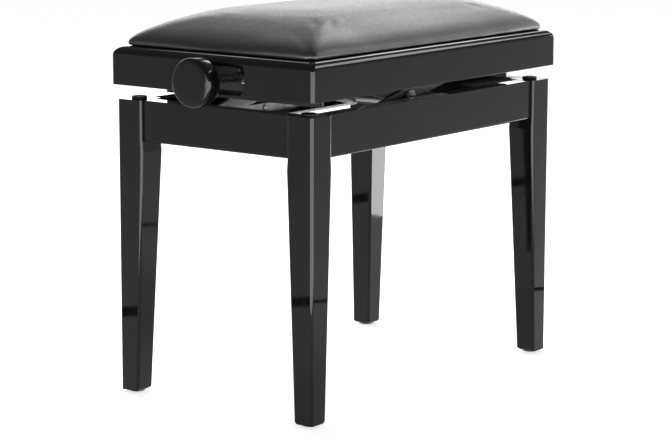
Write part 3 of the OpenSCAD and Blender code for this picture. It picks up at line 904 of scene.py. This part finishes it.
@dataclass
class AssistSprings:
    """Two tension springs that close as the seat rises, hooked on two cross rods."""

    coil_r: float = 4.7 * MM
    wire: float = 0.8 * MM
    pitch: float = 1.85 * MM
    eye_r: float = 6.4 * MM
    tail: float = 34.0 * MM
    coil_outer: float = 5.5 * MM
    shortest: float = 0.9227

    def eye(self, at: Vector, towards: float) -> list[Obj]:
        """One hook: a ring round the rod and a straight tail into the coil."""
        deselect()
        bpy.ops.mesh.primitive_torus_add(
            major_radius=self.eye_r, minor_radius=self.wire, major_segments=28,
            minor_segments=8, location=at, rotation=Axis.Y.value,
        )
        ring = bpy.context.object
        settle(ring)
        tail = turned(
            "tail", [(0, 0), (self.wire, 0), (self.wire, self.tail * 0.7), (self.wire * 0.7, self.tail),
                     (0, self.tail)], 8, 60,
        )
        start = (at.x + towards * (self.eye_r - 0.4 * MM), at.y, at.z)
        place(tail, start, Axis.X if towards > 0 else Axis.MINUS_X)
        bpy.ops.object.shade_smooth_by_angle(angle=math.radians(60))
        return [clean(ring, 60), tail]

    def build(self) -> None:
        """Makes the fixed hooks, the closing coils and the hooks that follow the arms."""
        low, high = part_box("assist_springs")
        fixed, sliding = (self.middle(n) for n in ("lower_pivot_rod", "lower_slide_rod"))
        rows = (low.y + self.coil_outer, high.y - self.coil_outer)
        gap = self.eye_r + self.wire
        length = sliding.x - fixed.x - 2 * gap
        closing = joined("assist_coils", [self.winding(length, (fixed.x + gap, y, fixed.z)) for y in rows])
        WARDROBE.hand_over(closing, "base", Slot.BRIGHT_STEEL, "assist_springs")
        for name, body, at, towards in (
            ("assist_hooks_fixed", "base", fixed, 1), ("assist_hooks_moving", "falling_arms", sliding, -1),
        ):
            hooks = [part for y in rows for part in self.eye(Vector((at.x, y, at.z)), towards)]
            WARDROBE.hand_over(joined(name, hooks), body, Slot.BRIGHT_STEEL)
        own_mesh(closing)

    def winding(self, length: float, at: Point) -> Obj:
        """One coil, lying along X from a point."""
        return place(coil("coil", self.coil_r, self.wire, self.pitch, length), at, Axis.X)

    def middle(self, node: str) -> Vector:
        """Middle of a cross rod."""
        low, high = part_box(node)
        return (low + high) / 2


# ---- fasteners, pads and glides


def corner_places(node: str, radius: float) -> list[Flat]:
    """Middles of the four round pieces at the corners of a node's box."""
    low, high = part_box(node)
    return [(x, y) for x in (low.x + radius, high.x - radius) for y in (low.y + radius, high.y - radius)]


@dataclass
class Fasteners:
    """Screws and bolts with cross-recessed heads and threads."""

    screw_r: float = 2.0 * MM
    rail_screw_l: float = 18.5 * MM
    head_r: float = 4.0 * MM
    head_h: float = 2.0 * MM
    board_head_r: float = 4.5 * MM
    board_head_h: float = 2.5 * MM
    bolt_r: float = 4.0 * MM
    bolt_pitch: float = 1.25 * MM
    blade_w: float = 0.42
    blade_taper: Point = (0.45, 0.7, 1)

    def recess(self, obj: Obj, top: float, size: float, depth: float) -> None:
        """Cuts a cross recess into a head whose top is at a height."""
        for turn in (0, math.pi / 2):
            deselect()
            bpy.ops.mesh.primitive_cube_add(size=1, location=(0, 0, top), rotation=(0, 0, turn))
            blade = bpy.context.object
            blade.scale = (2 * size, size * self.blade_w, 2 * depth)
            settle(blade)
            with editing(blade):
                pick_faces(blade, lambda normal: normal.z < -0.9)
                bpy.ops.transform.resize(value=self.blade_taper, center_override=(0, 0, top - depth))
            cut_away(obj, blade)

    def wood_screw(self, length: float, head_r: float, head_h: float) -> Obj:
        """A pan-head screw, its point down and its head's underside at the origin."""
        r = self.screw_r
        screw = turned(
            "wood_screw",
            [(0, -length), (r * 0.4, -length + 1.5 * MM), (r, -length + 4 * MM), (r, 0),
             (head_r * 0.94, 0), (head_r, 0.2 * head_h), (head_r * 0.93, 0.66 * head_h),
             (head_r * 0.7, 0.92 * head_h), (head_r * 0.3, head_h), (0, head_h)], 24, 30,
        )
        self.recess(screw, head_h, head_r * 0.55, head_h * 0.75)
        return clean(screw, 30)

    def rail_screws(self, node: str, body: str) -> None:
        """Replaces one node of channel screws: three to a side, heads inwards."""
        low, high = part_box(node)
        middle_x, z = (low.x + high.x) / 2, (low.z + high.z) / 2
        spread = (high.x - low.x) / 2 - self.head_r
        under = high.y - self.rail_screw_l + self.head_h
        screw = self.wood_screw(self.rail_screw_l - self.head_h, self.head_r, self.head_h)
        places = [
            Matrix.Translation((middle_x + (i - 1) * spread, side * under, z))
            @ Matrix.Rotation(side * math.pi / 2, 4, "X")
            @ Matrix.Rotation(0.5 + 1.1 * i + side, 4, "Z")
            for side in (-1, 1)
            for i in range(3)
        ]
        WARDROBE.set_out(node + "_cross_head", screw, places, body, Slot.BRIGHT_STEEL, node)

    def board_screws(self) -> None:
        """Replaces the four screws that hold the seat board, heads down."""
        low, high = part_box("board_screws")
        screw = self.wood_screw(high.z - low.z - self.board_head_h, self.board_head_r, self.board_head_h)
        places = [
            Matrix.Translation((x, y, low.z + self.board_head_h)) @ Matrix.Rotation(math.pi, 4, "X")
            @ Matrix.Rotation(0.4 + i, 4, "Z")
            for i, (x, y) in enumerate(corner_places("board_screws", self.board_head_r))
        ]
        name = "board_screws_cross_head"
        WARDROBE.set_out(name, screw, places, "seat", Slot.BRIGHT_STEEL, "board_screws")

    def pivot_bolts(self) -> None:
        """Replaces the arms' pivot bolts: cross-recessed pan heads and threaded shanks."""
        low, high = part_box("centre_bolts")
        inner = max(v.co.y for v in frame["nodes"]["centre_bolts"].data.vertices if v.co.y < 0)
        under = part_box("arm_b_front")[1].y
        x, z, head_r, head_h = (low.x + high.x) / 2, (low.z + high.z) / 2, (high.x - low.x) / 2, inner - under
        head = turned(
            "pan_head",
            [(0, 0), (head_r * 0.96, 0), (head_r, 0.25 * head_h), (head_r * 0.9, 0.75 * head_h),
             (head_r * 0.6, head_h), (0, head_h)], 32, 30,
        )
        self.recess(head, head_h, head_r * 0.5, head_h * 0.6)
        shank = threaded_rod("pivot_shank", self.bolt_r, self.bolt_pitch, under - low.y)
        shank.data.transform(Matrix.Translation((0, 0, low.y - under)))
        bolt = joined("pivot_bolt", [head, shank])
        places = [
            Matrix.Translation((x, side * under, z)) @ Matrix.Rotation(-side * math.pi / 2, 4, "X")
            for side in (1, -1)
        ]
        name = "pivot_bolts_threaded"
        WARDROBE.set_out(name, bolt, places, "rising_arms", Slot.BRIGHT_STEEL, "centre_bolts")

    def build(self) -> None:
        """Makes every fastener that shows."""
        self.rail_screws("lower_rail_screws", "base")
        self.rail_screws("upper_rail_screws", "seat")
        self.board_screws()
        self.pivot_bolts()


@dataclass
class PadsAndGlides:
    """Rubber bumpers on the leg tops and moulded glides under the feet."""

    stem_r: float = 1.6 * MM
    stem_l: float = 12.0 * MM

    def bumpers(self) -> None:
        """Turns a bumper with a rounded rim, a sunk middle and its pin."""
        low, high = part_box("leg_bumpers")
        seat = low.z + self.stem_l
        tall = high.z - seat
        r = 10 * MM
        pad = turned(
            "pad",
            [(0, -self.stem_l), (self.stem_r, -self.stem_l + 1 * MM), (self.stem_r, 0), (r - 0.3 * MM, 0),
             (r, 0.4 * MM), *arc((r - 1.1 * MM, tall - 1.1 * MM), 1.1 * MM, 0, 90, 5),
             (r * 0.55, tall - 0.1 * MM), (r * 0.42, tall - 0.9 * MM), (r * 0.3, tall - 1.0 * MM),
             (r * 0.26, tall - 0.5 * MM), (0, tall - 0.35 * MM)], 40, 35,
        )
        places = [Matrix.Translation((x, y, seat)) for x, y in corner_places("leg_bumpers", r)]
        WARDROBE.set_out("bumper_pads", pad, places, "base", Slot.RUBBER, "leg_bumpers")

    def glides(self) -> None:
        """Turns a glide with a domed sole and its nail."""
        low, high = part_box("foot_glides")
        r = 10.5 * MM
        top = high.z - self.stem_l
        glide = turned(
            "glide",
            [(0, 0), (r * 0.55, 0.0), (r * 0.82, 0.35 * MM), (r * 0.96, 1.1 * MM), (r, 1.9 * MM),
             (r, top - 0.3 * MM), (r - 0.3 * MM, top), (self.stem_r, top),
             (self.stem_r, top + self.stem_l - 1.2 * MM), (0, top + self.stem_l)], 40, 35,
        )
        places = [Matrix.Translation((x, y, low.z)) for x, y in corner_places("foot_glides", r)]
        WARDROBE.set_out("floor_glides", glide, places, "base", Slot.GLIDE, "foot_glides")

    def build(self) -> None:
        """Makes both sets."""
        self.bumpers()
        self.glides()


# ---- cushion


@dataclass
class Cushion:
    """The upholstered pad: a low crowned form, drawn down over the edge of its board."""

    ease: float = 3.2 * MM
    voxel: float = 4.5 * MM
    pressure: float = 4.0
    furthest: float = 1.6 * MM
    points_round: int = 240
    frames: int = 20

    def middle(self) -> Vector:
        """Middle of the cushion's underside."""
        low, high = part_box("seat_cover")
        return Vector(((low.x + high.x) / 2, (low.y + high.y) / 2, low.z))

    def ring(self, half_x: float, half_y: float, radius: float) -> np.ndarray:
        """Points evenly spaced round a rectangle with rounded corners."""
        radius = min(radius, half_x * 0.999, half_y * 0.999)
        dense: list[Flat] = []
        for quarter, (sx, sy) in enumerate(CORNERS):
            centre = (sx * (half_x - radius), sy * (half_y - radius))
            dense += arc(centre, radius, 90 * quarter, 90 * quarter + 90, 40)
        line = np.array([*dense, dense[0]])
        steps = np.hypot(*np.diff(line, axis=0).T)
        length = np.concatenate([[0], np.cumsum(steps)])
        at = np.linspace(0, length[-1], self.points_round, endpoint=False)
        return np.stack([np.interp(at, length, line[:, 0]), np.interp(at, length, line[:, 1])], 1)

    def profile(self) -> list[Point]:
        """Inset, height and corner radius of each ring in mm, from the underside to the crown."""
        return [
            (3.0, -0.2, 11.0), (1.2, 0.4, 12.0), (0.2, 1.8, 13.0), (0.0, 4.0, 13.0), (0.9, 6.6, 14.0),
            (3.4, 10.0, 15.0), (7.4, 14.0, 17.0), (12.5, 18.0, 20.0), (19.0, 22.2, 24.0),
            (26.0, 26.0, 28.0), (34.0, 30.4, 33.0), (44.0, 34.8, 39.0), (56.0, 38.6, 46.0),
            (70.0, 42.0, 54.0), (86.0, 44.8, 62.0), (104.0, 46.6, 46.0), (124.0, 47.4, 26.0),
            (138.0, 47.6, 12.0),
        ]

    def form(self) -> Obj:
        """Builds the closed form from its rings."""
        low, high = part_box("seat_cover")
        half_x, half_y = (high.x - low.x) / 2, (high.y - low.y) / 2
        middle = self.middle()
        rings = []
        for inset, height, radius in self.profile():
            grown = self.ease - inset * MM
            outline = self.ring(half_x + grown, half_y + grown, radius * MM)
            rings.append([(middle.x + x, middle.y + y, middle.z + height * MM) for x, y in outline])
        return lofted("cushion", rings, looped=False)

    def cloth(self) -> dict[str, object]:
        """Settings of a light, stiff cover that is blown up evenly and held along its edge."""
        return {
            "quality": 6, "mass": 0.35, "tension_stiffness": 12, "compression_stiffness": 12,
            "shear_stiffness": 6, "bending_stiffness": 1.2, "use_pressure": True,
            "uniform_pressure_force": self.pressure, "vertex_group_mass": "held",
        }

    def inflate(self, obj: Obj) -> None:
        """Lets the cover swell over its filling, held along the board's edge."""
        base = self.middle().z
        start = points_of(obj.data)
        pinned = obj.vertex_groups.new(name="held")
        for i in np.nonzero(start[:, 2] < base + 4 * MM)[0]:
            pinned.add([int(i)], 1.0, "REPLACE")
        activate(obj)
        modifier = add_modifier(obj, "CLOTH")
        for key, value in self.cloth().items():
            setattr(modifier.settings, key, value)
        modifier.settings.effector_weights.gravity = 0
        scene = bpy.context.scene
        for step in range(1, self.frames + 1):
            scene.frame_set(step)
        bpy.context.view_layer.update()
        shown = obj.evaluated_get(bpy.context.evaluated_depsgraph_get())
        move = points_of(shown.data) - start
        length = np.linalg.norm(move, axis=1, keepdims=True)
        share = np.minimum(1, self.furthest / np.maximum(length, 1e-9))
        share *= self.calm(start)[:, None]
        obj.modifiers.remove(modifier)
        scene.frame_set(1)
        obj.data.vertices.foreach_set("co", (start + move * share).ravel())
        obj.data.update()
        LOG.info("cushion swelled by up to %.1f mm", float(length.max()) / MM)

    def calm(self, points: np.ndarray) -> np.ndarray:
        """How freely each point may swell: not at all near the corners, where the cover is taut."""
        low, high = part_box("seat_cover")
        to_x = np.minimum(points[:, 0] - low.x, high.x - points[:, 0])
        to_y = np.minimum(points[:, 1] - low.y, high.y - points[:, 1])
        return smooth(np.hypot(to_x, to_y), 60 * MM, 130 * MM)

    def tuck(self, obj: Obj) -> None:
        """Sews in what the pulled cover shows: corner pleats, edge puckers and slack."""
        low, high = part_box("seat_cover")
        middle = self.middle()
        half_x, half_y = (high.x - low.x) / 2, (high.y - low.y) / 2
        co = points_of(obj.data)
        x, y, z = (co - np.array(middle)).T
        for sx, sy in ((-1, -1), (-1, 1), (1, -1), (1, 1)):
            dx, dy = half_x - sx * x, half_y - sy * y
            across = (dx - dy) / math.sqrt(2)
            along = (dx + dy) / math.sqrt(2)
            near = (1 - smooth(along, 10 * MM, 30 * MM)) * (1 - smooth(z, 5 * MM, 18 * MM))
            groove = np.exp(-((across / (1.6 * MM)) ** 2)) * 1.3 * MM * near
            shoulders = np.exp(-(((np.abs(across) - 6.5 * MM) / (3.5 * MM)) ** 2)) * 0.7 * MM * near
            pull = (shoulders - groove) / math.sqrt(2)
            co[:, :2] += np.outer(pull, (sx, sy))
        edge = np.minimum(half_x - np.abs(x), half_y - np.abs(y))
        low_side = (1 - smooth(z, 3 * MM, 20 * MM)) * (1 - smooth(edge, 6 * MM, 14 * MM))
        wobble = np.array([noise.noise(Vector((p[0] * 26, p[1] * 26, p[2] * 6))) for p in co])
        slack = np.array([noise.noise(Vector((p[0] * 7, p[1] * 9, 4.2))) for p in co])
        top = smooth(z, 20 * MM, 32 * MM)
        outwards = np.stack([x / half_x, y / half_y], 1)
        outwards /= np.maximum(np.linalg.norm(outwards, axis=1, keepdims=True), 1e-6)
        co[:, :2] += outwards * (wobble * low_side * 0.7 * MM)[:, None]
        co[:, 2] += slack * top * 1.1 * MM
        co[:, 2] = np.maximum(co[:, 2], middle.z - 0.3 * MM)
        obj.data.vertices.foreach_set("co", co.ravel())
        obj.data.update()

    def build(self) -> None:
        """Makes the cushion and hides the plain solid that it stands for."""
        obj = self.form()
        apply_modifier(obj, "REMESH", mode="VOXEL", voxel_size=self.voxel)
        self.inflate(obj)
        apply_modifier(obj, "SMOOTH", factor=0.5, iterations=3)
        apply_modifier(obj, "SUBSURF", levels=1, render_levels=1)
        self.tuck(obj)
        activate(obj)
        bpy.ops.object.shade_smooth()
        WARDROBE.hand_over(obj, "seat", Slot.LEATHERETTE, "seat_cover")


# ---- studio


def show_in_gloss(obj: Obj, light: float) -> None:
    """Makes a stage piece glow evenly, and hides it from all but glossy reflections."""
    material = bpy.data.materials.new(obj.name)
    tree = Tree(material)
    glow = tree.add("ShaderNodeEmission", Strength=light)
    tree.link(glow.outputs["Emission"], tree.add("ShaderNodeOutputMaterial").inputs["Surface"])
    obj.data.materials.append(material)
    for kind in ("camera", "diffuse", "shadow", "transmission"):
        setattr(obj, f"visible_{kind}", False)


@dataclass
class Card:
    """A curved studio card round the bench that shows only in gloss."""

    name: str
    start: float
    end: float
    radius: float
    low: float
    high: float
    light: float

    def build(self) -> None:
        """Stands the card up between two compass directions in degrees."""
        steps = 24
        foot = arc((0, 0), self.radius, self.start, self.end, steps)
        points = [(x, y, z) for z in (self.low, self.high) for x, y in foot]
        faces = [(i, i + 1, steps + 2 + i, steps + 1 + i) for i in range(steps)]
        show_in_gloss(mesh_object(self.name, points, faces), self.light)


@dataclass
class Band:
    """A black strip on the floor, in line with the camera, that shows only in gloss: a painted dark
    reflection that breaks the white floor mirrored in the lacquer.
    """

    name: str
    near: float
    far: float
    back: float = -3.0
    front: float = 3.0
    heading: float = CAMERA_YAW

    def build(self) -> None:
        """Lays the band between two distances to the left of the camera's line."""
        deselect()
        bpy.ops.mesh.primitive_plane_add(size=1)
        band = bpy.context.object
        band.name = self.name
        band.scale = (self.front - self.back, abs(self.far - self.near), 1)
        band.location = ((self.front + self.back) / 2, (self.near + self.far) / 2, 0.0)
        settle(band)
        band.data.transform(Matrix.Rotation(math.radians(self.heading), 4, "Z"))
        # painted dark reflection: zero glow, so the strip is black, and it is seen only in glossy rays
        show_in_gloss(band, 0.0)


STAGE_PIECES = (
    Card("front_card", 168, 290, 0.95, 0.0, 0.5, 11.0),
    Card("side_card", -42, -17, 2.4, 1.45, 2.15, 7.5),
    Card("top_card", 8, 24, 2.4, 1.62, 2.5, 7.0),
    Card("high_card", 46, 70, 2.4, 2.6, 3.5, 5.0),
    Card("back_card", 0, 75, 4.0, 0.85, 2.3, 4.2),
    # the two bands are painted dark reflections: black strips that only the lacquer's reflections show
    Band("left_painted_dark_reflection", 0.72, 0.79),
    Band("right_painted_dark_reflection", -0.715, -0.69, front=0.35),
    Card("panel", -30, -15, 0.93, 0.0, 0.6, 14.5),
)


@dataclass
class Studio:
    """A pale floor, a white surround that dims overhead, and a soft light."""

    horizon: float = 1.0
    zenith: float = 0.3
    floor_albedo: float = 0.86
    floor_glow: float = 0.7
    dim_from: float = 0.05
    dim_to: float = 0.3
    lamp_power: float = 80.0
    lamp_at: Point = (0.9, 1.3, 2.5)
    lamp_aim: Point = (0, 0, 0.3)
    lamp_size: Flat = (2.0, 1.6)

    def floor(self) -> None:
        """Lays the floor, well past everything that shows."""
        deselect()
        bpy.ops.mesh.primitive_circle_add(vertices=96, radius=30, fill_type="NGON", location=(0, 0, 0))
        floor = bpy.context.object
        floor.name = "studio_floor"
        floor.location.z = -0.0002
        settle(floor)
        graph = Graph("studio_floor")
        shade = self.floor_albedo
        graph.tint(graph.value(Pattern(3.0)), (shade,) * 3, (shade * 0.99,) * 3)
        graph.set(Roughness=0.9, IOR=1.3, Emission_Color=(1.0, 1.0, 1.0), Emission_Strength=self.floor_glow)
        floor.data.materials.append(graph.material)

    def world(self) -> None:
        """Surrounds the scene with white light that dims towards the zenith."""
        world = bpy.data.worlds.new("studio")
        bpy.context.scene.world = world
        tree = Tree(world)
        parts = tree.add("ShaderNodeSeparateXYZ")
        tree.link(tree.add("ShaderNodeTexCoord").outputs["Generated"], parts.inputs["Vector"])
        strength = tree.range(parts.outputs["Z"], self.dim_from, self.dim_to, self.horizon, self.zenith)
        background = tree.add("ShaderNodeBackground", Color=(1, 1, 1, 1))
        tree.link(strength, background.inputs["Strength"])
        output = tree.add("ShaderNodeOutputWorld")
        tree.link(background.outputs["Background"], output.inputs["Surface"])

    def lamp(self) -> None:
        """Hangs a rectangular soft light that faces the bench."""
        data = bpy.data.lights.new("overhead", "AREA")
        data.shape = "RECTANGLE"
        data.size, data.size_y = self.lamp_size
        data.energy = self.lamp_power
        lamp = bpy.data.objects.new("overhead", data)
        bpy.context.scene.collection.objects.link(lamp)
        lamp.location = self.lamp_at
        aim = Vector(self.lamp_aim) - Vector(self.lamp_at)
        lamp.rotation_euler = aim.to_track_quat("-Z", "Y").to_euler()
        lamp.visible_camera = False
        lamp.visible_glossy = False

    def build(self) -> None:
        """Sets up the whole studio."""
        self.floor()
        self.world()
        self.lamp()
        for piece in STAGE_PIECES:
            piece.build()
        settings = bpy.context.scene.view_settings
        settings.view_transform = "Standard"
        settings.look = "None"


@dataclass
class Camera:
    """The camera, at eye level to one corner of the bench."""

    at: Point = (-2.4551, -1.8646, 0.7643)
    yaw: float = CAMERA_YAW
    pitch: float = 10.167
    roll: float = 0.174
    lens: float = 124.3

    def build(self) -> None:
        """Places the camera and makes it the scene's own."""
        yaw, pitch, roll = (math.radians(a) for a in (self.yaw, self.pitch, self.roll))
        forward = Vector(
            (math.cos(pitch) * math.cos(yaw), math.cos(pitch) * math.sin(yaw), -math.sin(pitch))
        )
        level = Vector((math.sin(yaw), -math.cos(yaw), 0))
        upright = level.cross(forward)
        right = math.cos(roll) * level + math.sin(roll) * upright
        up = right.cross(forward)
        data = bpy.data.cameras.new("camera")
        data.lens = self.lens
        data.sensor_width = 36
        data.clip_start, data.clip_end = 0.05, 100
        data.dof.use_dof = False
        camera = bpy.data.objects.new("camera", data)
        bpy.context.scene.collection.objects.link(camera)
        turn = Matrix((right, up, -forward)).transposed().to_4x4()
        camera.matrix_world = Matrix.Translation(self.at) @ turn
        bpy.context.scene.camera = camera


def main() -> None:
    """Builds the bench's looks, sub-assembly by sub-assembly."""
    logging.basicConfig(level=logging.INFO, format="%(name)s: %(message)s")
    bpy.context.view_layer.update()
    Camera().build()
    Studio().build()
    CarriedNodes().finish()
    SeatFrame().build()
    Knob().build()
    LeadScrew().build()
    AssistSprings().build()
    Fasteners().build()
    PadsAndGlides().build()
    Cushion().build()


if __name__ == "__main__":
    main()
